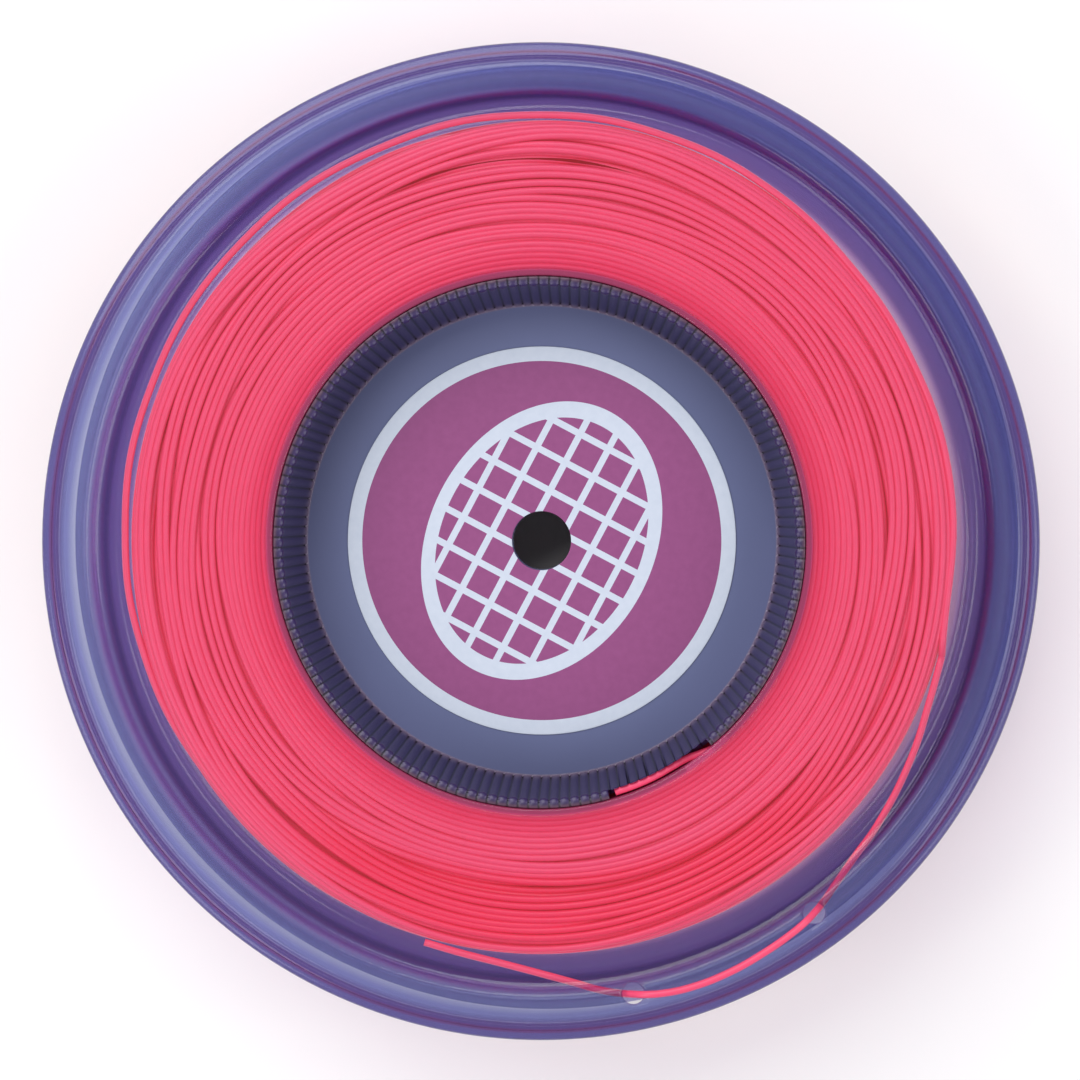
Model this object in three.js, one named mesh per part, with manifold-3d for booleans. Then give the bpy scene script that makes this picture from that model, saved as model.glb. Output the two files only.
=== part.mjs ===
// A reel of racket string. Two clear halves, each a flange with half of the drum, are clamped by two dark
// hub cups that peg into each other back to back. Each cup carries a paper label, and the drum carries one
// long string, whose loose end is laced through two holes in the front flange.
// Millimetres, +Z up. The reel lies on its rear flange, and the origin is the centre of its base.
import * as THREE from "three";
import { mergeVertices } from "three/addons/utils/BufferGeometryUtils.js";
import Module from "manifold-3d";

const wasm = await Module();
wasm.setup();

// ---------- Driving dimensions ----------
const REEL_RADIUS = 85;
const REEL_WIDTH = 42; // over the raised bands of the two flanges
const WALL = 1.5; // of the flange
const BAND_RISE = 2; // how far the band near the rim stands out of the flange
const BAND_FOOT_RADIUS = 75.6;
const BAND_START_RADIUS = 76.8;
const BAND_END_RADIUS = 81.4;
const BAND_OUTER_FOOT_RADIUS = 82.6;
const LIP_THICKNESS = 1.4; // the flange's edge turns back towards the string
const LIP_DEPTH = 2.8;
const DRUM_RADIUS = 46.4;
const DRUM_WALL = 1;
const LEDGE_RADIUS = 38; // the drum's foot turns inwards as far as this, between the two cups
const LEDGE_THICKNESS = 1;
const CUP_MOUTH_RADIUS = 45.1;
const CUP_FOOT_RADIUS = 42.3;
const CUP_WALL = 1.2;
const WEB_THICKNESS = 1.4;
const SPINDLE_HOLE_RADIUS = 5.15;
const LABEL_RADIUS = 33.9;
const LABEL_THICKNESS = 0.25;
const PEG_RADIUS = 2;
const PEG_CIRCLE_RADIUS = 24;
const PEG_ANGLES = [45, 135];
const STRING_DIAMETER = 1.23;
const WINDING_RADIUS = 72;
const WINDING_SHOULDER = 3; // the winding's two edges slope off by this much
const TAIL_HOLE_RADIUS = 2.4;
const TAIL_HOLE_CIRCLE_RADIUS = 78.5;
const TAIL_HOLE_ANGLES = [-53.3, -78.1];
const GAP = 0.3; // between pieces that fit into or lie on each other

// ---------- Heights that follow from them, all in the front half ----------
const MIDDLE = REEL_WIDTH / 2;
const FLANGE_OUTER_Z = REEL_WIDTH - BAND_RISE;
const FLANGE_INNER_Z = FLANGE_OUTER_Z - WALL;
const LEDGE_BOTTOM_Z = MIDDLE + GAP / 2;
const LEDGE_TOP_Z = LEDGE_BOTTOM_Z + LEDGE_THICKNESS;
const WEB_INNER_Z = LEDGE_TOP_Z + GAP;
const WEB_OUTER_Z = WEB_INNER_Z + WEB_THICKNESS;

const ROUND_STEPS = 48;
const SMALL_ROUND_STEPS = 16;
const STRING_SIDES = 8;

// ---------- Materials ----------
function plastic(color, roughness, opacity = 1) {
  const transparent = opacity < 1;
  return new THREE.MeshStandardMaterial({ color, roughness, metalness: 0, opacity, transparent });
}

const clearViolet = plastic(0x6c66a4, 0.08, 0.45);
const darkViolet = plastic(0x45446a, 0.3);
const magentaPaper = plastic(0xa0518b, 0.55);
const neonPink = plastic(0xf25879, 0.35);

const reel = new THREE.Group();

function addPiece(name, geometry, material) {
  const mesh = new THREE.Mesh(geometry, material.clone());
  mesh.name = name;
  reel.add(mesh);
}

// ---------- Shape helpers ----------
// A solid of revolution about Z. The outline is a list of [radius, z], anticlockwise, and is closed here.
function revolved(outline) {
  const points = [...outline, outline[0]].map(([radius, z]) => new THREE.Vector2(radius, z));
  return new THREE.LatheGeometry(points, ROUND_STEPS).rotateX(Math.PI / 2);
}

function toSolid(geometry) {
  const bare = geometry.clone();
  bare.deleteAttribute("normal");
  bare.deleteAttribute("uv");
  const merged = mergeVertices(bare, 1e-3);
  const vertProperties = merged.attributes.position.array;
  const triVerts = new Uint32Array(merged.index.array);
  return new wasm.Manifold(new wasm.Mesh({ numProp: 3, vertProperties, triVerts }));
}

function toGeometry(solid) {
  const { vertProperties, triVerts } = solid.getMesh();
  const geometry = new THREE.BufferGeometry();
  geometry.setAttribute("position", new THREE.BufferAttribute(new Float32Array(vertProperties), 3));
  geometry.setIndex(new THREE.BufferAttribute(new Uint32Array(triVerts), 1));
  geometry.computeVertexNormals();
  return geometry;
}

// The body with the added pieces joined to it, and then the cutters taken away.
function carved(body, added, cutters) {
  const joined = added.reduce((solid, piece) => solid.add(toSolid(piece)), toSolid(body));
  return toGeometry(cutters.reduce((solid, tool) => solid.subtract(toSolid(tool)), joined));
}

// The point at an angle in degrees from +X, a radius and a height.
function polar(angle, radius, z) {
  const turn = THREE.MathUtils.degToRad(angle);
  return new THREE.Vector3(radius * Math.cos(turn), radius * Math.sin(turn), z);
}

// A round rod along Z, at an angle and a distance from the reel's axis.
function rod(radius, bottom, top, angle, distance) {
  const shape = new THREE.CylinderGeometry(radius, radius, top - bottom, SMALL_ROUND_STEPS);
  const { x, y } = polar(angle, distance, 0);
  return shape.rotateX(Math.PI / 2).translate(x, y, (bottom + top) / 2);
}

// A block across a round wall, between two angles and two heights.
function notch(firstAngle, lastAngle, wallRadius, bottom, top) {
  const halfSpread = THREE.MathUtils.degToRad(lastAngle - firstAngle) / 2;
  const block = new THREE.BoxGeometry(4, 2 * wallRadius * Math.sin(halfSpread), top - bottom);
  block.translate(wallRadius, 0, (bottom + top) / 2);
  return block.rotateZ(THREE.MathUtils.degToRad((firstAngle + lastAngle) / 2));
}

// A round string along a smooth curve through a route's points, each [angle, radius, z].
function stringAlong(route, steps) {
  const points = route.map(([angle, radius, z]) => polar(angle, radius, z));
  const extrudePath = new THREE.CatmullRomCurve3(points, false, "centripetal");
  const section = new THREE.Shape();
  section.absarc(0, 0, STRING_DIAMETER / 2, 0, 2 * Math.PI);
  return new THREE.ExtrudeGeometry(section, { steps, curveSegments: STRING_SIDES / 2, extrudePath });
}

// The same moulding in the rear half: half a turn about X at mid-width.
function turnedOver(geometry) {
  return geometry.clone().rotateX(Math.PI).translate(0, 0, REEL_WIDTH);
}

// ---------- Clear halves ----------
// Each is a flange with a raised band and a turned-back lip, and half of the drum with its ledge.
function clearHalfOutline() {
  const rampShift = 0.7; // inner side of a ramp, so that its wall stays as thick as the rest
  const bandInnerZ = REEL_WIDTH - WALL;
  const landZ = FLANGE_OUTER_Z + 0.2; // between the band and the lip
  const lipBottomZ = landZ - LIP_DEPTH;
  const lipInnerRadius = REEL_RADIUS - LIP_THICKNESS;
  const soften = 0.4;
  const drum = [
    [LEDGE_RADIUS, LEDGE_BOTTOM_Z],
    [DRUM_RADIUS, LEDGE_BOTTOM_Z],
    [DRUM_RADIUS, FLANGE_INNER_Z],
  ];
  const stringSide = [
    [BAND_FOOT_RADIUS + rampShift, FLANGE_INNER_Z],
    [BAND_START_RADIUS + rampShift, bandInnerZ],
    [BAND_END_RADIUS - rampShift, bandInnerZ],
    [BAND_OUTER_FOOT_RADIUS - rampShift, landZ - WALL],
    [lipInnerRadius, landZ - WALL],
  ];
  const lip = [
    [lipInnerRadius, lipBottomZ],
    [REEL_RADIUS - soften, lipBottomZ],
    [REEL_RADIUS, lipBottomZ + soften],
    [REEL_RADIUS, landZ - soften * 2],
    [REEL_RADIUS - soften * 2, landZ],
  ];
  const outside = [
    [BAND_OUTER_FOOT_RADIUS, landZ],
    [BAND_END_RADIUS, REEL_WIDTH],
    [BAND_START_RADIUS, REEL_WIDTH],
    [BAND_FOOT_RADIUS, FLANGE_OUTER_Z],
  ];
  const drumInside = [
    [DRUM_RADIUS - DRUM_WALL, FLANGE_OUTER_Z],
    [DRUM_RADIUS - DRUM_WALL, LEDGE_TOP_Z],
    [LEDGE_RADIUS, LEDGE_TOP_Z],
  ];
  return [...drum, ...stringSide, ...lip, ...outside, ...drumInside];
}

const clearHalf = revolved(clearHalfOutline());
const tailHoles = TAIL_HOLE_ANGLES.map((angle) =>
  rod(TAIL_HOLE_RADIUS, FLANGE_INNER_Z - 1, REEL_WIDTH + 1, angle, TAIL_HOLE_CIRCLE_RADIUS),
);
const startSlot = notch(303, 314, DRUM_RADIUS, 36.3, 38.3);
addPiece("front_flange", carved(clearHalf, [], [...tailHoles, startSlot]), clearViolet);
addPiece("rear_flange", turnedOver(clearHalf), clearViolet);

// ---------- Hub cups ----------
// Each is a tapered wall and a web with the spindle hole. It has two pegs and two sockets, which meet the
// sockets and the pegs of the other cup.
const plainCup = revolved([
  [SPINDLE_HOLE_RADIUS, WEB_INNER_Z],
  [CUP_FOOT_RADIUS, WEB_INNER_Z],
  [CUP_MOUTH_RADIUS, FLANGE_OUTER_Z],
  [CUP_MOUTH_RADIUS - CUP_WALL, FLANGE_OUTER_Z],
  [CUP_FOOT_RADIUS - CUP_WALL + 0.3, WEB_OUTER_Z],
  [SPINDLE_HOLE_RADIUS, WEB_OUTER_Z],
]);
const pegTipZ = REEL_WIDTH - WEB_OUTER_Z + 0.25;
const pegs = PEG_ANGLES.map((angle) =>
  rod(PEG_RADIUS, pegTipZ, WEB_INNER_Z + 0.5, angle, PEG_CIRCLE_RADIUS),
);
const sockets = PEG_ANGLES.map((angle) =>
  rod(PEG_RADIUS + GAP, WEB_INNER_Z - 1, WEB_OUTER_Z + 1, -angle, PEG_CIRCLE_RADIUS),
);
const startNotch = notch(285, 311, CUP_MOUTH_RADIUS - CUP_WALL, 36.3, REEL_WIDTH);
addPiece("front_hub_cup", carved(plainCup, pegs, [...sockets, startNotch]), darkViolet);
addPiece("rear_hub_cup", turnedOver(carved(plainCup, pegs, sockets)), darkViolet);

// ---------- Labels ----------
const labelBottomZ = WEB_OUTER_Z + 0.05;
const label = revolved([
  [SPINDLE_HOLE_RADIUS, labelBottomZ],
  [LABEL_RADIUS, labelBottomZ],
  [LABEL_RADIUS, labelBottomZ + LABEL_THICKNESS],
  [SPINDLE_HOLE_RADIUS, labelBottomZ + LABEL_THICKNESS],
]);
addPiece("front_label", label, magentaPaper);
addPiece("rear_label", turnedOver(label), magentaPaper);

// ---------- String ----------
// The wound turns as one ring that fills the space between the flanges, with sloping shoulders.
const windingTopZ = FLANGE_INNER_Z - GAP;
const winding = revolved([
  [DRUM_RADIUS + GAP, REEL_WIDTH - windingTopZ],
  [WINDING_RADIUS - WINDING_SHOULDER, REEL_WIDTH - windingTopZ],
  [WINDING_RADIUS, REEL_WIDTH - windingTopZ + WINDING_SHOULDER],
  [WINDING_RADIUS, windingTopZ - WINDING_SHOULDER],
  [WINDING_RADIUS - WINDING_SHOULDER, windingTopZ],
  [DRUM_RADIUS + GAP, windingTopZ],
]);
addPiece("string_winding", winding, neonPink);

// The last turn has sprung off the winding over half of its way round.
const LAST_TURN_ROUTE = [
  [206, 72.5, 36.2],
  [190, 73, 36.3],
  [170, 73.4, 36.4],
  [140, 73.7, 36.5],
  [105, 73.8, 36.6],
  [75, 73.4, 36.6],
  [50, 72.8, 36.6],
  [30, 72.3, 36.7],
  [10, 71.9, 36.8],
  [-5, 71.5, 37],
  [-15.4, 71.3, 37.2],
];
addPiece("string_last_turn", stringAlong(LAST_TURN_ROUTE, 64), neonPink);

// The loose end leaves the winding, comes out through one hole, runs along the band, goes back in through
// the other hole, and ends over the winding's edge.
const TAIL_ROUTE = [
  [-15.8, 71.3, 37.2],
  [-22, 71.8, 37.3],
  [-30, 73.3, 37.4],
  [-40, 75.2, 37.4],
  [-45, 76, 37.5],
  [-49, 77.1, 38.2],
  [-51.7, 78, 39.5],
  [-53.3, 78.3, 41.25],
  [-54.8, 78.5, 42.65],
  [-57, 78.8, 42.9],
  [-61, 79.2, 42.9],
  [-66, 79.6, 42.9],
  [-71, 79.6, 42.9],
  [-74.4, 79.2, 42.9],
  [-76.6, 78.7, 42.65],
  [-78.1, 78.4, 41.25],
  [-79.7, 78.1, 39.5],
  [-82.4, 77.1, 38.2],
  [-85, 75.8, 37.5],
  [-89, 74.1, 37.4],
  [-95, 72.4, 37.3],
  [-101, 71.6, 37.3],
  [-106, 71.3, 37.3],
];
addPiece("string_tail", stringAlong(TAIL_ROUTE, 80), neonPink);

// The first centimetres of the string come out of the drum through its slot and lie in the front cup's notch.
const START_ROUTE = [
  [287, 44.5, 38.7],
  [292, 44.5, 38.7],
  [297, 44.5, 38.5],
  [301, 44.5, 37.9],
  [304.5, 44.7, 37.4],
  [308, 45.5, 37.3],
  [310, 46, 37.3],
];
addPiece("string_start", stringAlong(START_ROUTE, 14), neonPink);

export default reel;
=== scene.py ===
# %% [markdown]
# A reel of racket string: two clear violet plastic halves with a fluted dark hub, a paper label sunk in the
# hub, and a full winding of neon pink string. The frame holds the reel's sizes. This script gives each
# piece its finished shape and its finish, in the frame's own metres.

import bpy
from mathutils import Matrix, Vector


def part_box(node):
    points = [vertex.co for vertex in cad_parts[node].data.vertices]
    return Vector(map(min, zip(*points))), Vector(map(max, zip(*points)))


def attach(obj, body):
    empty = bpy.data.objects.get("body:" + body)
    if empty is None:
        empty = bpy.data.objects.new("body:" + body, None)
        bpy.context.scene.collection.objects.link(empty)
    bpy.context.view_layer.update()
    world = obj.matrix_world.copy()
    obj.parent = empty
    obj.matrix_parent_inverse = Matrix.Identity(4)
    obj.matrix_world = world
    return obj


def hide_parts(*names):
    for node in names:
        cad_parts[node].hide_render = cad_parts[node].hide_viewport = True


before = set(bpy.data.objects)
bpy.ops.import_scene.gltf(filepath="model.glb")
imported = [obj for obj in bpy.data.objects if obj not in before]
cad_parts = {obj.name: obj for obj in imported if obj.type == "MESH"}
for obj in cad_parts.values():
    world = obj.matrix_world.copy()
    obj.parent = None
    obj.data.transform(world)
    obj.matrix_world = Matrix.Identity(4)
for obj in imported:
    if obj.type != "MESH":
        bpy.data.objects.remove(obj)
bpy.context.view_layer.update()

import math
import random

import bmesh
import bpy
from mathutils import Matrix, Vector

MM = 0.001

# %% [markdown]
# The reel lies flat on a pale floor and is looked at from almost straight above, as one looks at a reel on
# a bench. A long lens from 0.6 m keeps the rim round and still shows a little of the hub's walls. The
# standard view keeps the neon string as strong as it is, where a film-like view would wash it out.

# %% Camera
REEL_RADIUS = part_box("front_flange")[1].x
REEL_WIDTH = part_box("front_flange")[1].z
EYE_HEIGHT = 0.6
EYE_OFFSET = Vector((0.019, 0.0125, 0))
FRAME_WIDTH = 0.1830  # of what the camera sees, at the reel's top

scene = bpy.context.scene
aim = Vector((0.0003, 0.0005, REEL_WIDTH))
eye = aim + EYE_OFFSET + Vector((0, 0, EYE_HEIGHT))
camera = bpy.data.objects.new("camera", bpy.data.cameras.new("camera"))
camera.data.sensor_width = 36
camera.data.lens = 36 * (eye - aim).length / FRAME_WIDTH
camera.data.clip_start = 0.05
back = (eye - aim).normalized()
right = Vector((0, 1, 0)).cross(back).normalized()
turned = Matrix((right, back.cross(right), back)).transposed().to_4x4()
camera.matrix_world = Matrix.Translation(eye) @ turned
scene.collection.objects.link(camera)
scene.camera = camera
scene.view_settings.view_transform = "Standard"
scene.cycles.transparent_max_bounces = 24
print("reel radius", round(REEL_RADIUS, 4), "m, lens", round(camera.data.lens, 1), "mm")

# %% [markdown]
# A few helpers join a mesh to the frame. Each piece rides on the root body, gets its material, and hides
# the pieces of the frame that it stands for.

# %% Helpers for pieces
def add_piece(name, mesh, material, stands_for=()):
    piece = bpy.data.objects.new(name, mesh)
    scene.collection.objects.link(piece)
    mesh.materials.clear()
    mesh.materials.append(material)
    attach(piece, "root")
    if stands_for:
        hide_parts(*stands_for)
    return piece


def mesh_of(bm, name):
    mesh = bpy.data.meshes.new(name)
    for face in bm.faces:
        face.smooth = True
    bm.to_mesh(mesh)
    bm.free()
    return mesh


def report(piece):
    triangles = sum(len(face.vertices) - 2 for face in piece.data.polygons)
    print(f"{piece.name}: {triangles} triangles")


# %% [markdown]
# A material is a small chain of nodes. These helpers keep the chains short to read: one makes a node and
# wires it, one does arithmetic, one gives the distance from the spindle axis, which is what most of the
# reel's finishes depend on.

# %% Helpers for materials
def new_material(name):
    material = bpy.data.materials.new(name)
    material.use_nodes = True
    material.node_tree.nodes.clear()
    return material, material.node_tree


def add_node(tree, kind, inputs=None, **settings):
    node = tree.nodes.new(kind)
    for key, value in settings.items():
        setattr(node, key, value)
    for key, value in (inputs or {}).items():
        if isinstance(value, bpy.types.NodeSocket):
            tree.links.new(value, node.inputs[key])
        else:
            node.inputs[key].default_value = value
    return node


def math_node(tree, operation, first, second=0.0, third=0.0, clamp=False):
    inputs = {0: first, 1: second, 2: third}
    return add_node(tree, "ShaderNodeMath", inputs, operation=operation, use_clamp=clamp).outputs[0]


def object_place(tree):
    return add_node(tree, "ShaderNodeTexCoord").outputs["Object"]


def axis_distance(tree):
    """The distance from the spindle axis, in millimetres."""
    flat = add_node(
        tree,
        "ShaderNodeVectorMath",
        {0: object_place(tree), 1: (1 / MM, 1 / MM, 0)},
        operation="MULTIPLY",
    )
    return add_node(tree, "ShaderNodeVectorMath", {0: flat.outputs[0]}, operation="LENGTH").outputs["Value"]


def ring_shades(tree, shades, low, high):
    """A colour that changes with the distance from the axis. shades is a list of (millimetres, colour)."""
    share = add_node(tree, "ShaderNodeMapRange", {0: axis_distance(tree), 1: low, 2: high}).outputs[0]
    ramp = add_node(tree, "ShaderNodeValToRGB", {0: share})
    elements = ramp.color_ramp.elements
    elements.remove(elements[1])
    elements[0].position = 0
    for distance, colour in shades:
        stop = elements.new((distance - low) / (high - low))
        stop.color = (*colour, 1)
    elements[0].color = (*shades[0][1], 1)
    return ramp.outputs[0]


def noise(tree, scale, detail=3.0, vector=None):
    inputs = {"Vector": vector or object_place(tree), "Scale": scale, "Detail": detail}
    return add_node(tree, "ShaderNodeTexNoise", inputs)


def finish_with(tree, shader):
    add_node(tree, "ShaderNodeOutputMaterial", {"Surface": shader})


# %% [markdown]
# The string is an extruded polyester monofilament, dyed a fluorescent pink. Its dye turns blue and green
# light into red, so it looks brighter than its surroundings, and a little emission, a painted glow, does the
# same here and also flattens the shading of the turns. Its surface has faint lines along its length. The
# winding goes round the reel's axis, so a noise that is stretched round that axis lies along every turn.
# A patch low on the winding is painted a deeper red: painted shade where the flange above mirrors less of
# the bright room.

# %% String finish
def make_string_material():
    material, tree = new_material("neon_string")
    place = add_node(tree, "ShaderNodeSeparateXYZ", {0: object_place(tree)})
    angle = math_node(tree, "ARCTAN2", place.outputs["Y"], place.outputs["X"])
    along = add_node(
        tree,
        "ShaderNodeCombineXYZ",
        {0: math_node(tree, "MULTIPLY", angle, 6.0), 1: axis_distance(tree), 2: place.outputs["Z"]},
    )
    streaks = noise(tree, 2.2, 4.0, along.outputs[0])
    tone = add_node(tree, "ShaderNodeValToRGB", {0: streaks.outputs[0]})
    tone.color_ramp.elements[0].color = (0.74, 0.055, 0.142, 1)
    tone.color_ramp.elements[1].color = (0.86, 0.083, 0.198, 1)
    # Painted shade: in a patch 63 mm from the axis, low on the winding, the string is mixed towards a deeper
    # red, where the flange above mirrors less of the bright room.
    across = math_node(tree, "MULTIPLY_ADD", axis_distance(tree), 1 / 7.0, -63 / 7.0)
    round_way = math_node(tree, "MULTIPLY_ADD", angle, 1 / 0.95, 1.5 / 0.95)
    apart = add_node(tree, "ShaderNodeCombineXYZ", {0: across, 1: round_way})
    away = add_node(tree, "ShaderNodeVectorMath", {0: apart.outputs[0]}, operation="LENGTH").outputs["Value"]
    painted_shade_patch = add_node(
        tree, "ShaderNodeMapRange", {0: away, 1: 0.6, 2: 1.1, 3: 0.8, 4: 0.0}, interpolation_type="SMOOTHSTEP"
    )
    dye_and_painted_shade = add_node(
        tree,
        "ShaderNodeMix",
        {0: painted_shade_patch.outputs[0], 6: tone.outputs[0], 7: (0.80, 0.012, 0.075, 1)},
        data_type="RGBA",
    )
    fine = noise(tree, 2500, 2.0)
    roughness = add_node(tree, "ShaderNodeMapRange", {0: fine.outputs[0], 3: 0.32, 4: 0.48}).outputs[0]
    bump = add_node(
        tree, "ShaderNodeBump", {"Height": streaks.outputs[0], "Strength": 0.12, "Distance": 0.0002}
    )
    # The emission is a painted glow. It stands in for the dye's fluorescence and flattens the turns' shading.
    body = add_node(
        tree,
        "ShaderNodeBsdfPrincipled",
        {
            "Base Color": dye_and_painted_shade.outputs[2],
            "Roughness": roughness,
            "Normal": bump.outputs[0],
            "Emission Color": (1.0, 0.012, 0.06, 1),
            "Emission Strength": 0.09,
        },
    )
    finish_with(tree, body.outputs[0])
    return material


neon_string = make_string_material()
print("made", neon_string.name)

# %% [markdown]
# The loose end is the one free cord. It is a limp plastic line 1.23 mm thick, so it is a tube along a
# smooth curve through a short list of places, the same list as the frame's. A curve object makes both the
# tube and the line down its middle, and each is turned into a mesh.

# %% Loose end of the string
STRING_RADIUS = 0.615 * MM


def around(angle, radius, height):
    """A place in metres, from an angle in degrees and a radius and a height in millimetres."""
    turn = math.radians(angle)
    return Vector((radius * math.cos(turn), radius * math.sin(turn), height)) * MM


def string_curve(name, routes, closed, smooth_steps=0, sides=8):
    curve = bpy.data.curves.new(name, "CURVE")
    curve.dimensions = "3D"
    curve.bevel_resolution = sides // 2 - 2
    curve.use_fill_caps = not closed
    for route in routes:
        spline = curve.splines.new("BEZIER" if smooth_steps else "POLY")
        points = spline.bezier_points if smooth_steps else spline.points
        points.add(len(route) - 1)
        for point, place in zip(points, route):
            if smooth_steps:
                point.co = place
                point.handle_left_type = point.handle_right_type = "AUTO"
            else:
                point.co = (*place, 1)
        spline.use_cyclic_u = closed
        spline.use_smooth = True
        if smooth_steps:
            spline.resolution_u = smooth_steps
    return curve


def mesh_from_curve(curve, thickness):
    """The curve as a mesh: a tube, or with no thickness the line itself."""
    curve.bevel_depth = thickness
    holder = bpy.data.objects.new("holder", curve)
    scene.collection.objects.link(holder)
    bpy.context.view_layer.update()
    graph = bpy.context.evaluated_depsgraph_get()
    mesh = bpy.data.meshes.new_from_object(holder.evaluated_get(graph), depsgraph=graph)
    bpy.data.objects.remove(holder)
    if thickness:
        bm = bmesh.new()
        bm.from_mesh(mesh)
        bmesh.ops.remove_doubles(bm, verts=bm.verts, dist=0.0002 * MM)
        bmesh.ops.recalc_face_normals(bm, faces=bm.faces)
        for face in bm.faces:
            face.smooth = True
        bm.to_mesh(mesh)
        bm.free()
    return mesh


TAIL_ROUTE = [
    (-15.8, 71.3, 37.2),
    (-22, 71.8, 37.3),
    (-30, 73.3, 37.4),
    (-40, 75.2, 37.4),
    (-45, 76, 37.5),
    (-49, 77.1, 38.2),
    (-51.7, 78, 39.5),
    (-53.3, 78.3, 41.25),
    (-54.8, 78.5, 42.65),
    (-57, 78.8, 42.9),
    (-61, 79.2, 42.9),
    (-66, 79.6, 42.9),
    (-71, 79.6, 42.9),
    (-74.4, 79.2, 42.9),
    (-76.6, 78.7, 42.65),
    (-78.1, 78.4, 41.25),
    (-79.7, 78.1, 39.5),
    (-82.4, 77.1, 38.2),
    (-85, 75.8, 37.5),
    (-89, 74.1, 37.4),
    (-95, 72.4, 37.3),
    (-101, 71.6, 37.3),
    (-106, 71.3, 37.3),
]
tail_places = [around(*stop) for stop in TAIL_ROUTE]
tail_curve = string_curve("tail", [tail_places], closed=False, smooth_steps=6, sides=12)
tail_line = [vertex.co.copy() for vertex in mesh_from_curve(tail_curve, 0).vertices]
string_tail = add_piece(
    "string_tail_end", mesh_from_curve(tail_curve, STRING_RADIUS), neon_string, ["string_tail"]
)
report(string_tail)

# %% [markdown]
# The last turn has sprung off the winding on one side, as stiff string does when its end is let go. The
# string's first few centimetres come out of the drum and lie in a notch of the hub's mouth. Both are tubes
# like the loose end.

# %% Last turn and start of the string
LAST_TURN_ROUTE = [
    (226, 68.9, 35.2),
    (212, 69.9, 35.9),
    (196, 70.6, 36.3),
    (180, 71.1, 36.5),
    (160, 71.7, 36.6),
    (135, 72.3, 36.7),
    (110, 72.7, 36.8),
    (90, 72.9, 36.8),
    (72, 72.5, 36.8),
    (56, 71.8, 36.9),
    (43, 70.9, 37.1),
    (28, 70.6, 37.2),
    (8, 70.7, 37.2),
    (-15.8, 71.3, 37.2),
]
START_ROUTE = [
    (287, 44.5, 38.7),
    (292, 44.5, 38.7),
    (297, 44.5, 38.5),
    (301, 44.5, 37.9),
    (304.5, 44.7, 37.4),
    (308, 45.5, 37.3),
    (310, 46, 37.3),
]


def laid_string(name, route, node):
    curve = string_curve(name, [[around(*stop) for stop in route]], closed=False, smooth_steps=10, sides=12)
    piece = add_piece(name, mesh_from_curve(curve, STRING_RADIUS), neon_string, [node])
    report(piece)


laid_string("string_outer_turn", LAST_TURN_ROUTE, "string_last_turn")
laid_string("string_inner_end", START_ROUTE, "string_start")

# %% [markdown]
# The winding is what the eye meets first: several hundred turns, of which about seventy show. On a
# real reel the machine lays them tight near the drum and looser further out, where turns ride over each
# other in long shallow crossings. Each turn here is a closed ring that wanders along the winding's
# surface. Where two would meet, the one that was laid later stays on top, and the other dips under it.

# %% Surface of the winding
DRUM_RADIUS = 46.4
FLANGE_GAP = (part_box("string_winding")[0].z / MM - 0.3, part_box("string_winding")[1].z / MM + 0.3)
WINDING_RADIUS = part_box("string_winding")[1].x / MM
CORNER = 3.0  # the winding's rounded edge
STRING_MM = 1.23
TOUCH = 0.93  # turns nearer than this ride over each other
TURN_STEPS = 240
middle_z = sum(FLANGE_GAP) / 2

face_length = WINDING_RADIUS - CORNER - DRUM_RADIUS
corner_length = CORNER * math.pi / 2
side_length = FLANGE_GAP[1] - FLANGE_GAP[0] - 2 * CORNER
surface_length = 2 * (face_length + corner_length) + side_length


def on_surface(distance, depth):
    """(radius, height) at a distance along the winding's section, from the drum over the front face, the
    outside and the rear face, and a depth under it."""
    half = surface_length / 2
    mirror = distance > half
    run = surface_length - distance if mirror else distance
    if run < face_length:
        radius, height = DRUM_RADIUS + run, FLANGE_GAP[1] - depth
    elif run < face_length + corner_length:
        turn = (run - face_length) / CORNER
        reach = CORNER - depth
        radius = WINDING_RADIUS - CORNER + reach * math.sin(turn)
        height = FLANGE_GAP[1] - CORNER + reach * math.cos(turn)
    else:
        radius = WINDING_RADIUS - depth
        height = FLANGE_GAP[1] - CORNER - (run - face_length - corner_length)
    if mirror:
        height = 2 * middle_z - height
    return radius, height


print("surface of the winding:", round(surface_length, 1), "mm from drum to drum")

# %% [markdown]
# Turns are laid in small bundles, and a bundle drifts to and fro as the reel turns. Each bundle gets its
# own sum of a few sine waves, which closes on itself after one turn. Near the drum the drift fades out.
# Where two turns would share a place, a depth is worked out for the one that was laid first, widened and
# smoothed, so that it dips under the other in a long shallow curve.

# %% Where each turn wanders
FIRM_UNTIL = 5.0  # millimetres from the drum within which the turns lie tight
LOOSE_FROM = 13.0  # and from where on they cross freely
EDGE_ROOM = 0.65  # kept free beside the drum
TIGHT_PITCH = 0.96
LOOSE_PITCH = 0.28  # more than the tight one, where the turns are loose
RIDE_DEPTH = 1.15  # of a turn right under another
DEEPEST_DIP = 3.4


def looseness(distance):
    """0 near the drum, 1 on the outer part of a face, and little on the outside."""
    run = min(distance, surface_length - distance)
    on_face = min(max((run - FIRM_UNTIL) / (LOOSE_FROM - FIRM_UNTIL), 0.0), 1.0)
    on_side = min(max((run - face_length - corner_length) / 3.0, 0.0), 1.0)
    return on_face * (1 - 0.7 * on_side)


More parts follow.
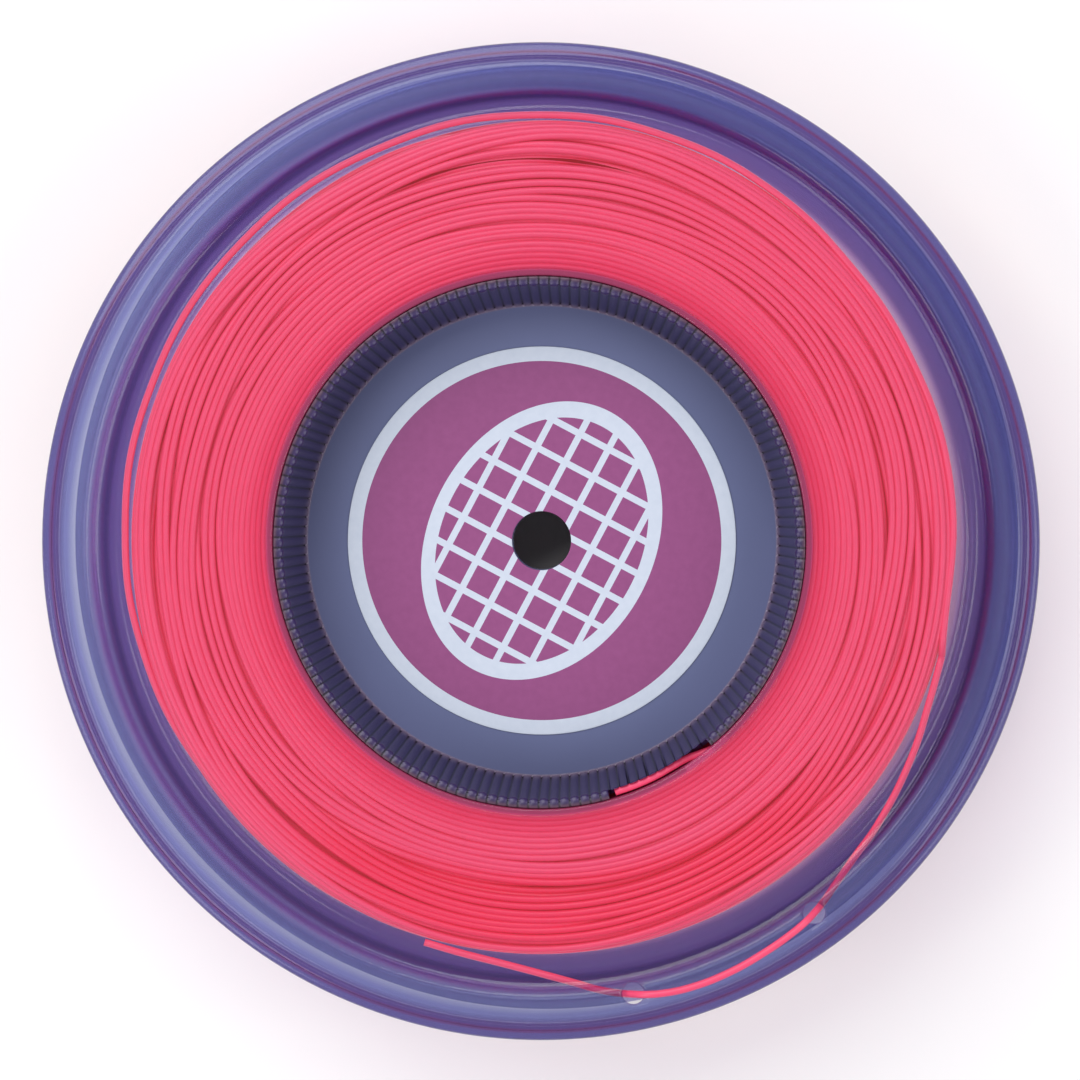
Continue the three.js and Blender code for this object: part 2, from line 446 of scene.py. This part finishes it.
def wandering_turns(reach, seed):
    """For each turn, its distance along the surface at every step of the way round. The turns go in bundles
    that were laid together, and each bundle wanders its own way."""
    rng = random.Random(seed)
    homes = []
    home = EDGE_ROOM + 0.01
    while home < surface_length - 0.6:
        homes.append(home)
        home += TIGHT_PITCH + LOOSE_PITCH * looseness(home)
    turns, bundles = [], []
    while len(turns) < len(homes):
        bundle = len(bundles)
        waves = [(m, rng.uniform(0.4, 1.0) / m**0.5, rng.uniform(0, 2 * math.pi)) for m in (1, 2, 3, 4, 6)]
        size = min(rng.choice((1, 1, 2, 2, 3, 4)), len(homes) - len(turns))
        for home in homes[len(turns) : len(turns) + size]:
            own = rng.uniform(0, 2 * math.pi)
            turn = []
            for i in range(TURN_STEPS):
                theta = 2 * math.pi * i / TURN_STEPS
                together = sum(a * math.sin(m * theta + p) for m, a, p in waves)
                move = looseness(home) * (reach * together + 0.16 * math.sin(2 * theta + own))
                turn.append(min(max(home + move, EDGE_ROOM), surface_length - EDGE_ROOM))
            turns.append(turn)
        bundles.append(list(range(len(turns) - size, len(turns))))
    rng.shuffle(bundles)
    return turns, [k for bundle in bundles for k in bundle]


def depths_of(turns, order):
    """How deep each turn lies at every step: on top where it is free, else just under those laid later."""
    depths = [[0.0] * TURN_STEPS for _ in turns]
    for rank, k in enumerate(order):
        for i in range(TURN_STEPS):
            depth = 0.0
            for j in order[:rank]:
                apart = abs(turns[k][i] - turns[j][i])
                if apart < TOUCH:
                    share = min((TOUCH - apart) / (TOUCH - 0.4), 1)
                    depth = max(depth, depths[j][i] + RIDE_DEPTH * share)
            depths[k][i] = min(depth, DEEPEST_DIP)
        depths[k] = eased(depths[k])
    return depths


def eased(values, reach=7):
    """Widens the dips, then smooths them, all the way round."""
    n = len(values)
    widened = [max(values[(i + d) % n] for d in range(-reach // 2, reach // 2 + 1)) for i in range(n)]
    window = range(-reach, reach + 1)
    weights = [1 + math.cos(math.pi * d / (reach + 1)) for d in window]
    total = sum(weights)
    return [sum(w * widened[(i + d) % n] for d, w in zip(window, weights)) / total for i in range(n)]


top_turns, laid_order = wandering_turns(1.1, seed=23)
top_depths = depths_of(top_turns, laid_order)
deepest = max(max(row) for row in top_depths)
print(len(top_turns), "turns at the surface, the deepest dip is", round(deepest, 2), "mm")

# %% [markdown]
# Each turn becomes a closed tube. The outer turns aren't quite round: they stand out at the top, where the
# last turn sprang loose and took its neighbours along, and draw in at the left. The tubes are joined into
# three meshes, for the front, the outside and the rear, so that none gets too heavy to handle.

# %% Rings of string
def bulge(theta):
    """How far the outer turns stand out or in, in millimetres: a hump at the top, a dip at the left."""
    angle = math.degrees(theta) % 360
    hump = 1.45 * math.exp(-(((angle - 86) / 30) ** 2))
    dip = 0.6 * math.exp(-(((angle - 185) / 35) ** 2))
    return hump - dip - 1.2


def turn_places(distances, depths):
    places = []
    for i, (distance, depth) in enumerate(zip(distances, depths)):
        radius, height = on_surface(distance, depth + STRING_MM / 2 + 0.04)
        theta = 2 * math.pi * i / len(distances)
        radius += bulge(theta) * min(max((radius - 52) / 18, 0), 1)
        places.append(Vector((radius * math.cos(theta), radius * math.sin(theta), height)) * MM)
    return places


def winding_piece(name, turns, depths, sides, stands_for=()):
    routes = [turn_places(t, d) for t, d in zip(turns, depths)]
    curve = string_curve(name, routes, closed=True, sides=sides)
    piece = add_piece(name, mesh_from_curve(curve, STRING_RADIUS), neon_string, stands_for)
    report(piece)
    return piece


third = len(top_turns) // 3
winding_piece("winding_front_turns", top_turns[:third], top_depths[:third], 8, ["string_winding"])
winding_piece("winding_outer_turns", top_turns[third : 2 * third], top_depths[third : 2 * third], 8)
winding_piece("winding_rear_turns", top_turns[2 * third :], top_depths[2 * third :], 8)

# %% [markdown]
# Between the top turns the eye reaches the layer below, so a second set of plainer turns lies one string
# deeper, and a solid ring closes what is deeper still, where no light gets.

# %% Turns underneath
under_turns, _ = wandering_turns(0.7, seed=5)
under_depths = [[RIDE_DEPTH] * TURN_STEPS for _ in under_turns]
half_count = len(under_turns) // 2
winding_piece("winding_under_front", under_turns[:half_count], under_depths[:half_count], 6)
winding_piece("winding_under_rear", under_turns[half_count:], under_depths[half_count:], 6)


def section_outline(depth, count):
    """The winding's section at a depth, as (radius, height) places, closed along the drum."""
    start, end = 0.4, surface_length - 0.4
    return [on_surface(start + (end - start) * i / (count - 1), depth) for i in range(count)]


def spun(outline, steps):
    """A closed outline of (radius, height) in millimetres, spun once round the reel's axis."""
    bm = bmesh.new()
    corners = [bm.verts.new((radius * MM, 0, height * MM)) for radius, height in outline]
    sides = [bm.edges.new(pair) for pair in zip(corners, corners[1:] + corners[:1])]
    bmesh.ops.spin(
        bm,
        geom=corners + sides,
        cent=(0, 0, 0),
        axis=(0, 0, 1),
        angle=2 * math.pi,
        steps=steps,
        use_merge=True,
    )
    bmesh.ops.remove_doubles(bm, verts=bm.verts, dist=0.001 * MM)
    bmesh.ops.recalc_face_normals(bm, faces=bm.faces)
    return bm


CORE_DEPTH = 2.9  # less than the corner's radius, so that the outline doesn't fold over itself
core = spun(section_outline(CORE_DEPTH, 40), 96)
report(add_piece("winding_core", mesh_of(core, "winding_core"), neon_string))

# %% [markdown]
# The two halves are moulded in clear violet plastic, 1.5 mm thick. Their outline has a flat flange, a
# raised band near the rim, a lip that turns back, and half of the drum with a ledge at its foot. The
# outline is a flat face first, so that its corners can be rounded by a bevel, and then its edge is spun.
# The front half also has two holes in the band for the string's end, and a slot in the drum for its start.

# %% Clear halves
LIP_DEPTH = 2.8
WALL = 1.5
band_top = REEL_WIDTH / MM
flange_top = band_top - 2
flange_under = flange_top - WALL
land_top = flange_top + 0.2
radius_mm = REEL_RADIUS / MM
drum_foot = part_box("front_flange")[0].z / MM

HALF_OUTLINE = [  # radius, height, rounding of the corner
    (38, drum_foot, 0.2),
    (46.4, drum_foot, 0.2),
    (46.4, flange_under, 0.5),
    (76.3, flange_under, 0.8),
    (77.5, band_top - WALL, 0.6),
    (80.7, band_top - WALL, 0.6),
    (81.9, land_top - WALL, 0.4),
    (radius_mm - 1.4, land_top - WALL, 0.5),
    (radius_mm - 1.4, land_top - LIP_DEPTH, 0.3),
    (radius_mm, land_top - LIP_DEPTH, 0.4),
    (radius_mm, land_top, 1.1),
    (82.6, land_top, 0.6),
    (81.4, band_top, 0.5),
    (76.8, band_top, 0.5),
    (75.6, flange_top, 0.8),
    (45.4, flange_top, 0.4),
    (45.4, drum_foot + 1, 0.3),
    (38, drum_foot + 1, 0.2),
]
ROUND_SEGMENTS = 4
HOLD = 0.25  # a place this near each end of a straight run keeps the run flat
SPIN_STEPS = 288


def rounded_outline(corners):
    """The places of an outline whose corners are rounded, in order."""
    bm = bmesh.new()
    points = [bm.verts.new((radius, height, 0)) for radius, height, _ in corners]
    bm.faces.new(points)
    for point, (_, _, rounding) in zip(points, corners):
        bmesh.ops.bevel(
            bm,
            geom=[point],
            offset=rounding,
            affect="VERTICES",
            segments=ROUND_SEGMENTS,
            profile=0.5,
            material=-1,
        )
    bm.faces.ensure_lookup_table()
    rounded = [(loop.vert.co.x, loop.vert.co.y) for loop in bm.faces[0].loops]
    bm.free()
    places = []
    for here, there in zip(rounded, rounded[1:] + rounded[:1]):
        places.append(here)
        run = math.dist(here, there)
        if run > 3 * HOLD:
            for share in (HOLD / run, 1 - HOLD / run):
                places.append(tuple(a + (b - a) * share for a, b in zip(here, there)))
    return places


def turned_over(bm):
    """The same moulding for the rear: half a turn about X at mid-width."""
    flip = Matrix.Translation((0, 0, REEL_WIDTH)) @ Matrix.Rotation(math.pi, 4, "X")
    bmesh.ops.transform(bm, matrix=flip, verts=bm.verts)
    return bm


def cut_away(mesh, cutters):
    """Takes the cutters, each a bmesh, out of a mesh."""
    body = bpy.data.objects.new("body", mesh)
    scene.collection.objects.link(body)
    tools = []
    for cutter in cutters:
        tool = bpy.data.objects.new("tool", mesh_of(cutter, "tool"))
        scene.collection.objects.link(tool)
        tools.append(tool)
        cut = body.modifiers.new("cut", "BOOLEAN")
        cut.operation = "DIFFERENCE"
        cut.solver = "EXACT"
        cut.object = tool
    bpy.context.view_layer.update()
    graph = bpy.context.evaluated_depsgraph_get()
    result = bpy.data.meshes.new_from_object(body.evaluated_get(graph), depsgraph=graph)
    for spare in [body, *tools]:
        bpy.data.objects.remove(spare)
    return result


def upright_cutter(place, radius, bottom, top):
    """A round cutter along Z, all in millimetres."""
    bm = bmesh.new()
    bmesh.ops.create_cone(
        bm,
        cap_ends=True,
        segments=40,
        radius1=radius * MM,
        radius2=radius * MM,
        depth=(top - bottom) * MM,
        matrix=Matrix.Translation(place + Vector((0, 0, (top + bottom) / 2 * MM))),
    )
    return bm


def wall_notch_cutter(first_angle, last_angle, inner, outer, bottom, top):
    """A curved block across a round wall, between two angles in degrees. The rest is in millimetres."""
    bm = bmesh.new()
    corners = [(inner, bottom), (outer, bottom), (outer, top), (inner, top)]
    points = [bm.verts.new(around(first_angle, radius, height)) for radius, height in corners]
    face = bm.faces.new(points)
    bmesh.ops.spin(
        bm,
        geom=points + face.edges[:] + [face],
        cent=(0, 0, 0),
        axis=(0, 0, 1),
        angle=math.radians(last_angle - first_angle),
        steps=16,
    )
    bmesh.ops.recalc_face_normals(bm, faces=bm.faces)
    return bm


# %% [markdown]
# Clear plastic looks deeper where there is more of it to look through, as in the band and the bent rim. A
# glass shader would bend the light too, which is slow and noisy over so many strings. These walls are thin
# and hardly bend it, so a tinted see-through shader with a little mirror gives the same look. Each crossing
# of a wall tints the light twice, once at each face. The tint is a list of colours by distance from the
# axis, one list for each half. The lists also hold painted light: a painted highlight on the band's inner
# ramp, painted dark lines at the band's foot, a painted red line in the rim where the pink string would show
# through, and painted shade beside the drum. The rear half's list is paler at the rim than the front's, so
# that where the two are seen one over the other the rim isn't darkened twice.

# %% Clear violet finish
def make_clear_material(name, outer_tint_and_painted_light):
    """Light goes through the wall with a violet tint set by the distance from the axis. It stands for how
    much plastic there is, and it also carries painted light: painted highlights, painted dark lines and
    painted shade. The surface mirrors a little of the room, more at a slant. Where the drum's wall is seen
    end on, a painted pink glow in the string's colour is mixed in."""
    material, tree = new_material(name)
    # The redder, darker stops from 46.6 to 48 mm are painted shade beside the drum. The rest of this list is
    # the violet tint, nearly clear over the winding.
    inner_tint_and_painted_shade = [
        (38, (0.86, 0.80, 0.88)),
        (46.6, (0.95, 0.84, 0.91)),
        (48, (0.95, 0.81, 0.875)),
        (51, (0.972, 0.93, 0.955)),
        (74.6, (0.98, 0.96, 0.98)),
    ]
    tint_and_painted_light = ring_shades(tree, inner_tint_and_painted_shade + outer_tint_and_painted_light, 36, 86)
    facing = add_node(tree, "ShaderNodeLayerWeight", {"Blend": 0.5}).outputs["Facing"]
    slant = math_node(tree, "POWER", facing, 4.0)
    mirror_share = math_node(tree, "MULTIPLY_ADD", slant, 0.9, 0.035)
    ripple = noise(tree, 30, 2.0)
    bump = add_node(
        tree, "ShaderNodeBump", {"Height": ripple.outputs[0], "Strength": 0.008, "Distance": 0.001}
    )
    specks = noise(tree, 900, 3.0)
    roughness = add_node(tree, "ShaderNodeMapRange", {0: specks.outputs[0], 3: 0.03, 4: 0.10}).outputs[0]
    through = add_node(tree, "ShaderNodeBsdfTransparent", {"Color": tint_and_painted_light})
    mirror = add_node(
        tree,
        "ShaderNodeBsdfGlossy",
        {"Color": (1, 1, 1, 1), "Roughness": roughness, "Normal": bump.outputs[0]},
    )
    surface = add_node(
        tree, "ShaderNodeMixShader", {0: mirror_share, 1: through.outputs[0], 2: mirror.outputs[0]}
    )
    # Painted glow: where the drum's wall is seen end on, a diffuse share in the string's pink stands in for
    # the string showing through it.
    wall_end = math_node(tree, "COMPARE", axis_distance(tree), 45.9, 0.65)
    painted_string_glow = add_node(tree, "ShaderNodeBsdfDiffuse", {"Color": (0.66, 0.10, 0.25, 1)})
    painted_glow_share = math_node(tree, "MULTIPLY", wall_end, 0.4)
    body = add_node(tree, "ShaderNodeMixShader", {0: painted_glow_share, 1: surface.outputs[0], 2: painted_string_glow.outputs[0]})
    finish_with(tree, body.outputs[0])
    return material


# Front half. Painted light among the stops: the dark stop at 75.9 mm is a painted dark line at the band's
# foot, the pale stop at 76.7 mm is a painted highlight on the inner ramp, and the red stop at 83.4 mm is a
# painted red line where the pink string would show through the rim. The other stops are the violet tint.
FRONT_TINT_AND_PAINTED_LIGHT = [
    (75.4, (0.92, 0.87, 0.93)),
    (75.9, (0.76, 0.50, 0.79)),
    (76.7, (0.86, 0.92, 0.98)),
    (77.6, (0.665, 0.69, 0.84)),
    (79.2, (0.66, 0.69, 0.83)),
    (80.4, (0.49, 0.51, 0.75)),
    (81.2, (0.475, 0.50, 0.735)),
    (82.2, (0.35, 0.293, 0.534)),
    (83.1, (0.355, 0.30, 0.57)),
    (83.4, (0.52, 0.20, 0.38)),
    (83.7, (0.38, 0.36, 0.62)),
    (85, (0.38, 0.37, 0.61)),
]
# Rear half. The dark stops from 79.8 to 80.7 mm are a painted dark line. The rim from 81.4 mm is kept paler
# than the front's, so that seen through the front it isn't darkened twice.
REAR_TINT_AND_PAINTED_LIGHT = [
    (75.9, (0.62, 0.57, 0.79)),
    (79.2, (0.62, 0.57, 0.79)),
    (79.8, (0.46, 0.35, 0.65)),
    (80.7, (0.46, 0.35, 0.65)),
    (81.4, (0.66, 0.66, 0.83)),
    (85, (0.66, 0.66, 0.83)),
]
front_violet = make_clear_material("clear_violet_front", FRONT_TINT_AND_PAINTED_LIGHT)
rear_violet = make_clear_material("clear_violet_rear", REAR_TINT_AND_PAINTED_LIGHT)

half_outline = rounded_outline(HALF_OUTLINE)
TAIL_HOLES = [(-53.3, 78.3), (-78.1, 78.3)]
TAIL_HOLE_RADIUS = 1.9
hole_cutters = [
    upright_cutter(around(angle, distance, 0), TAIL_HOLE_RADIUS, flange_under - 2, band_top + 2)
    for angle, distance in TAIL_HOLES
]
start_slot = wall_notch_cutter(303, 314, 45.0, 46.9, 36.3, 38.3)
front_body = mesh_of(spun(half_outline, SPIN_STEPS), "front_half")
front_mesh = cut_away(front_body, [*hole_cutters, start_slot])
front_half = add_piece("front_clear_half", front_mesh, front_violet, ["front_flange"])
rear_mesh = mesh_of(turned_over(spun(half_outline, SPIN_STEPS)), "rear_half")
rear_half = add_piece("rear_clear_half", rear_mesh, rear_violet, ["rear_flange"])
report(front_half)
report(rear_half)

# %% [markdown]
# Each hub cup is one dark moulding: a flat web with the spindle hole, and a tapered wall whose inner face
# carries 158 flutes that stiffen it and give fingers a grip. The wall is spun with six steps to a flute,
# and each of its vertices then moves in or out with a rounded wave. A notch in the front cup's mouth
# leaves room for the start of the string.

# %% Hub cups
FLUTES = 158
STEPS_PER_FLUTE = 6
FLUTE_DEPTH = 0.42
web_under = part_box("front_label")[0].z / MM - 1.45
web_top = web_under + 1.4
mouth = flange_top
FOOT_RADIUS = 41.4
MOUTH_RADIUS = 43.9

CUP_OUTLINE = [
    (5.15, web_under, 0.15),
    (42.3, web_under, 0.3),
    (45.32, mouth, 0.3),
    (MOUTH_RADIUS, mouth, 0.6),
    (FOOT_RADIUS, web_top, 0.25),
    (5.15, web_top, 0.2),
]


def add_flutes(bm):
    for vertex in bm.verts:
        radius = math.hypot(vertex.co.x, vertex.co.y) / MM
        height = vertex.co.z / MM
        rise = (height - web_top) / (mouth - web_top)
        wall = FOOT_RADIUS + rise * (MOUTH_RADIUS - FOOT_RADIUS)
        if rise < 0.0 or radius < FOOT_RADIUS - 0.6:
            continue
        wave = abs(math.cos(math.atan2(vertex.co.y, vertex.co.x) * FLUTES / 2)) ** 0.6
        if radius < wall + 0.35:
            share = 1 - FLUTE_DEPTH * (wave - 0.4) / radius
            vertex.co.x *= share
            vertex.co.y *= share
        if rise > 0.99 and radius < 45.0:
            vertex.co.z -= 0.35 * MM * (1 - wave)


def make_hub_material():
    material, tree = new_material("dark_hub")
    # Colours by distance from the axis. The web keeps its own slate blue, a little darker towards the wall.
    # The rest is painted light: the pale stop at 41.05 mm is a painted highlight where the wall meets the
    # web, the near-black stops from 41.6 to 43.9 mm are painted shade in the fluted recess, the stop at 44.2
    # mm is a painted row of highlight dots on the flute tops, and the reddish stop at 45 mm is painted pink
    # from the string beside the mouth.
    shade = ring_shades(
        tree,
        [
            (5, (0.125, 0.145, 0.285)),
            (34, (0.125, 0.145, 0.285)),
            (40.8, (0.115, 0.130, 0.265)),
            (41.05, (0.20, 0.15, 0.23)),
            (41.35, (0.10, 0.07, 0.14)),
            (41.6, (0.027, 0.0145, 0.077)),
            (43.9, (0.027, 0.0145, 0.080)),
            (44.2, (0.046, 0.027, 0.10)),
            (44.6, (0.034, 0.020, 0.070)),
            (45, (0.085, 0.04, 0.07)),
        ],
        4,
        46,
    )
    cloud = noise(tree, 35, 3.0)
    # Painted shade and highlight across the flutes: beyond the foot, each flute's valley is painted darker
    # and its crest lighter.
    place = add_node(tree, "ShaderNodeSeparateXYZ", {0: object_place(tree)})
    angle = math_node(tree, "ARCTAN2", place.outputs["Y"], place.outputs["X"])
    wave = math_node(tree, "COSINE", math_node(tree, "MULTIPLY", angle, FLUTES / 2))
    crest = math_node(tree, "ABSOLUTE", wave)
    depth = add_node(tree, "ShaderNodeMapRange", {0: crest, 1: 0.1, 2: 0.5, 3: 0.25, 4: 1.12}).outputs[0]
    in_flutes = math_node(tree, "GREATER_THAN", axis_distance(tree), FOOT_RADIUS - 0.1)
    flute_painted_shade_and_highlight = add_node(tree, "ShaderNodeMix", {0: in_flutes, 2: 1.0, 3: depth}).outputs[0]
    cloudy = add_node(tree, "ShaderNodeMapRange", {0: cloud.outputs[0], 3: 0.9, 4: 1.1}).outputs[0]
    brightness = math_node(tree, "MULTIPLY", cloudy, flute_painted_shade_and_highlight)
    tone = add_node(tree, "ShaderNodeHueSaturation", {"Color": shade, "Value": brightness})
    grain = noise(tree, 4000, 2.0)
    bump = add_node(
        tree, "ShaderNodeBump", {"Height": grain.outputs[0], "Strength": 0.10, "Distance": 0.0001}
    )
    roughness = add_node(tree, "ShaderNodeMapRange", {0: cloud.outputs[0], 3: 0.26, 4: 0.38}).outputs[0]
    body = add_node(
        tree,
        "ShaderNodeBsdfPrincipled",
        {"Base Color": tone.outputs[0], "Roughness": roughness, "Normal": bump.outputs[0]},
    )
    finish_with(tree, body.outputs[0])
    return material


dark_hub = make_hub_material()
front_cup_bm = spun(rounded_outline(CUP_OUTLINE), FLUTES * STEPS_PER_FLUTE)
add_flutes(front_cup_bm)
rear_cup_bm = turned_over(front_cup_bm.copy())
start_notch = wall_notch_cutter(285.5, 310.5, 43.85, 45.6, 36.5, mouth + 1)
front_cup_mesh = cut_away(mesh_of(front_cup_bm, "front_cup"), [start_notch])
front_cup = add_piece("front_fluted_cup", front_cup_mesh, dark_hub, ["front_hub_cup"])
rear_cup_mesh = mesh_of(rear_cup_bm, "rear_cup")
rear_cup = add_piece("rear_fluted_cup", rear_cup_mesh, dark_hub, ["rear_hub_cup"])
report(front_cup)
report(rear_cup)

# %% [markdown]
# The labels are discs of coated paper, printed magenta with a pale ring at the edge. The drawing on them is
# a plain one: an oval hoop with straight strings across it, the usual sign for a racket. It is drawn by
# arithmetic in the material. Two numbers are worked out for each point, how far it is from the hoop and how
# far from the nearest string, and each is compared with half a line's width.

# %% Labels
LABEL_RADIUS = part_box("front_label")[1].x / MM
label_top = web_top + 0.25
LABEL_OUTLINE = [
    (5.15, web_top + 0.01, 0.05),
    (LABEL_RADIUS, web_top + 0.01, 0.05),
    (LABEL_RADIUS, label_top, 0.1),
    (5.15, label_top, 0.1),
]
PALE_RING_RADIUS = 31.35
HOOP_TILT = math.radians(-28)
HOOP_HALF_WIDTH = 18.5
HOOP_HALF_LENGTH = 24.0
HOOP_LINE = 2.6
STRING_SPACING = 5.6
STRING_LINE = 1.15


def near_a_string(tree, place):
    """1 on a printed string line, for one of the two directions across the hoop."""
    shifted = math_node(tree, "ADD", place, STRING_SPACING / 2)
    apart = math_node(tree, "PINGPONG", shifted, STRING_SPACING / 2)
    return math_node(tree, "LESS_THAN", apart, STRING_LINE / 2)


def hoop_drawing(tree):
    """1 on the hoop and on the strings inside it, 0 elsewhere. Lengths are in millimetres."""
    mapped = add_node(
        tree,
        "ShaderNodeMapping",
        {"Vector": object_place(tree), "Rotation": (0, 0, HOOP_TILT), "Scale": (MM, MM, MM)},
        vector_type="TEXTURE",
    )
    parts = add_node(tree, "ShaderNodeSeparateXYZ", {0: mapped.outputs[0]})
    across = math_node(tree, "MULTIPLY", parts.outputs["X"], 1 / HOOP_HALF_WIDTH)
    along = math_node(tree, "MULTIPLY", parts.outputs["Y"], 1 / HOOP_HALF_LENGTH)
    oval = add_node(tree, "ShaderNodeCombineXYZ", {0: across, 1: along})
    reach = add_node(tree, "ShaderNodeVectorMath", {0: oval.outputs[0]}, operation="LENGTH").outputs["Value"]
    half_line = HOOP_LINE / (HOOP_HALF_WIDTH + HOOP_HALF_LENGTH)
    hoop = math_node(tree, "COMPARE", reach, 1.0, half_line)
    inside = math_node(tree, "LESS_THAN", reach, 1.0)
    strings = math_node(
        tree,
        "MAXIMUM",
        near_a_string(tree, parts.outputs["X"]),
        near_a_string(tree, parts.outputs["Y"]),
    )
    return math_node(tree, "MAXIMUM", hoop, math_node(tree, "MULTIPLY", strings, inside))


def mixed(tree, share, first, second):
    """Two colours, or two colour sockets, mixed by a share from 0 to 1."""
    mix = add_node(tree, "ShaderNodeMix", {0: share, 6: first, 7: second}, data_type="RGBA")
    return mix.outputs[2]


def make_label_material():
    material, tree = new_material("label_paper")
    ring = math_node(tree, "GREATER_THAN", axis_distance(tree), PALE_RING_RADIUS)
    pale = math_node(tree, "MAXIMUM", ring, hoop_drawing(tree))
    fibre = noise(tree, 700, 4.0)
    ink = mixed(tree, fibre.outputs[0], (0.245, 0.047, 0.178, 1), (0.305, 0.067, 0.22, 1))
    paper = mixed(tree, fibre.outputs[0], (0.54, 0.60, 0.72, 1), (0.64, 0.69, 0.80, 1))
    colour = mixed(tree, pale, ink, paper)
    bump = add_node(
        tree, "ShaderNodeBump", {"Height": fibre.outputs[0], "Strength": 0.08, "Distance": 0.0001}
    )
    body = add_node(
        tree,
        "ShaderNodeBsdfPrincipled",
        {"Base Color": colour, "Roughness": 0.5, "Normal": bump.outputs[0]},
    )
    finish_with(tree, body.outputs[0])
    return material


label_paper = make_label_material()
label_places = rounded_outline(LABEL_OUTLINE)
front_label_mesh = mesh_of(spun(label_places, 192), "front_label")
front_label = add_piece("front_paper_label", front_label_mesh, label_paper, ["front_label"])
rear_label_mesh = mesh_of(turned_over(spun(label_places, 192)), "rear_label")
rear_label = add_piece("rear_paper_label", rear_label_mesh, label_paper, ["rear_label"])
report(front_label)
report(rear_label)

# %% [markdown]
# The reel lies on a wide pale floor under one large soft lamp and two side lamps, in an evenly lit room.
# The lamps stand to the sides, because a lamp straight above would be mirrored in the flat flange.

# %% Floor and lights
def make_floor():
    bm = bmesh.new()
    bmesh.ops.create_grid(bm, x_segments=1, y_segments=1, size=3)
    bmesh.ops.translate(bm, vec=(0, 0, -0.3 * MM), verts=bm.verts)
    floor = bpy.data.objects.new("floor", mesh_of(bm, "floor"))
    scene.collection.objects.link(floor)
    material, tree = new_material("pale_floor")
    mottle = noise(tree, 30, 3.0)
    tone = add_node(tree, "ShaderNodeMapRange", {0: mottle.outputs[0], 3: 0.93, 4: 0.95}).outputs[0]
    body = add_node(tree, "ShaderNodeBsdfPrincipled", {"Base Color": tone, "Roughness": 0.9})
    finish_with(tree, body.outputs[0])
    floor.data.materials.append(material)


def add_lamp(name, azimuth, elevation, distance, size, power):
    """A square soft lamp that points at the reel, from a direction in degrees."""
    turn, lift = math.radians(azimuth), math.radians(elevation)
    towards = Vector((math.cos(turn) * math.cos(lift), math.sin(turn) * math.cos(lift), math.sin(lift)))
    lamp = bpy.data.objects.new(name, bpy.data.lights.new(name, "AREA"))
    lamp.data.shape = "SQUARE"
    lamp.data.size = size
    lamp.data.energy = power
    lamp.location = towards * distance
    lamp.rotation_euler = (-towards).to_track_quat("-Z", "Y").to_euler()
    scene.collection.objects.link(lamp)


make_floor()
add_lamp("key_lamp", 115, 52, 1.6, 1.3, 17)
add_lamp("left_lamp", 215, 45, 1.6, 1.0, 8)
add_lamp("right_lamp", 340, 45, 1.6, 1.0, 8)

world = bpy.data.worlds.new("room")
world.use_nodes = True
world.node_tree.nodes["Background"].inputs["Color"].default_value = (0.95, 0.96, 1.0, 1)
world.node_tree.nodes["Background"].inputs["Strength"].default_value = 0.36
scene.world = world
